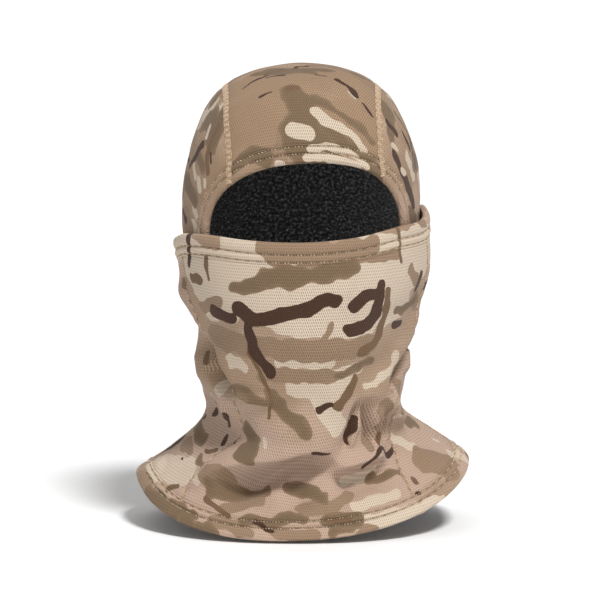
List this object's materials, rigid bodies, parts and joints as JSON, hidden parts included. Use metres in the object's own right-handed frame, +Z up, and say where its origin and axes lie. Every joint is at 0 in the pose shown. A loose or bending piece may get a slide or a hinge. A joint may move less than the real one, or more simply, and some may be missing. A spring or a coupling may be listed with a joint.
{
  "type": "camo face mask",
  "caption": "Fleece-lined camouflage balaclava with an arched eye opening, a pull-down face cover and a flared neck bib.",
  "frame": {"origin": "middle of the head space, level with the top edge of the face cover at the nose", "axes": "+Z up through the crown; -Y the way the face looks; +X the wearer's left"},
  "size_m": [0.25, 0.2211, 0.3448],
  "materials": {
    "camo_knit": "printed camouflage on a bird's-eye mesh knit, matt",
    "camo_hem": "the same printed knit, turned and flattened, matt",
    "fleece": "black short-pile fleece, matt",
    "thread": "pale tan polyester thread, slight sheen"
  },
  "bodies": {
    "hood": {"crown_panel": "camo_knit", "left_side_panel": "camo_knit", "right_side_panel": "camo_knit", "crown_lining": "fleece", "left_side_lining": "fleece", "right_side_lining": "fleece", "eye_opening_hem": "camo_hem", "eye_hem_stitches": "thread", "left_crown_seam": "thread", "right_crown_seam": "thread", "neck_front_panel": "camo_knit", "left_bib_panel": "camo_knit", "right_bib_panel": "camo_knit", "back_neck_panel": "camo_knit", "neck_front_lining": "fleece", "left_bib_lining": "fleece", "right_bib_lining": "fleece", "back_neck_lining": "fleece", "bottom_hem": "camo_hem", "bottom_hem_stitches": "thread", "nape_seam": "thread", "left_front_seam": "thread", "right_front_seam": "thread", "left_shoulder_seam": "thread", "right_shoulder_seam": "thread"},
    "face_cover": {"face_panel": "camo_knit", "left_cover_panel": "camo_knit", "right_cover_panel": "camo_knit", "face_lining": "fleece", "face_hem": "camo_hem", "face_hem_stitches": "thread", "left_cover_lining": "fleece", "right_cover_lining": "fleece", "left_cover_seam": "thread", "right_cover_seam": "thread"}
  },
  "joints": [
    {"name": "face_cover_pull_down", "type": "slide", "parent": "hood", "child": "face_cover", "axis": [0, 0, -1], "range_m": [0, 0.07]}
  ]
}
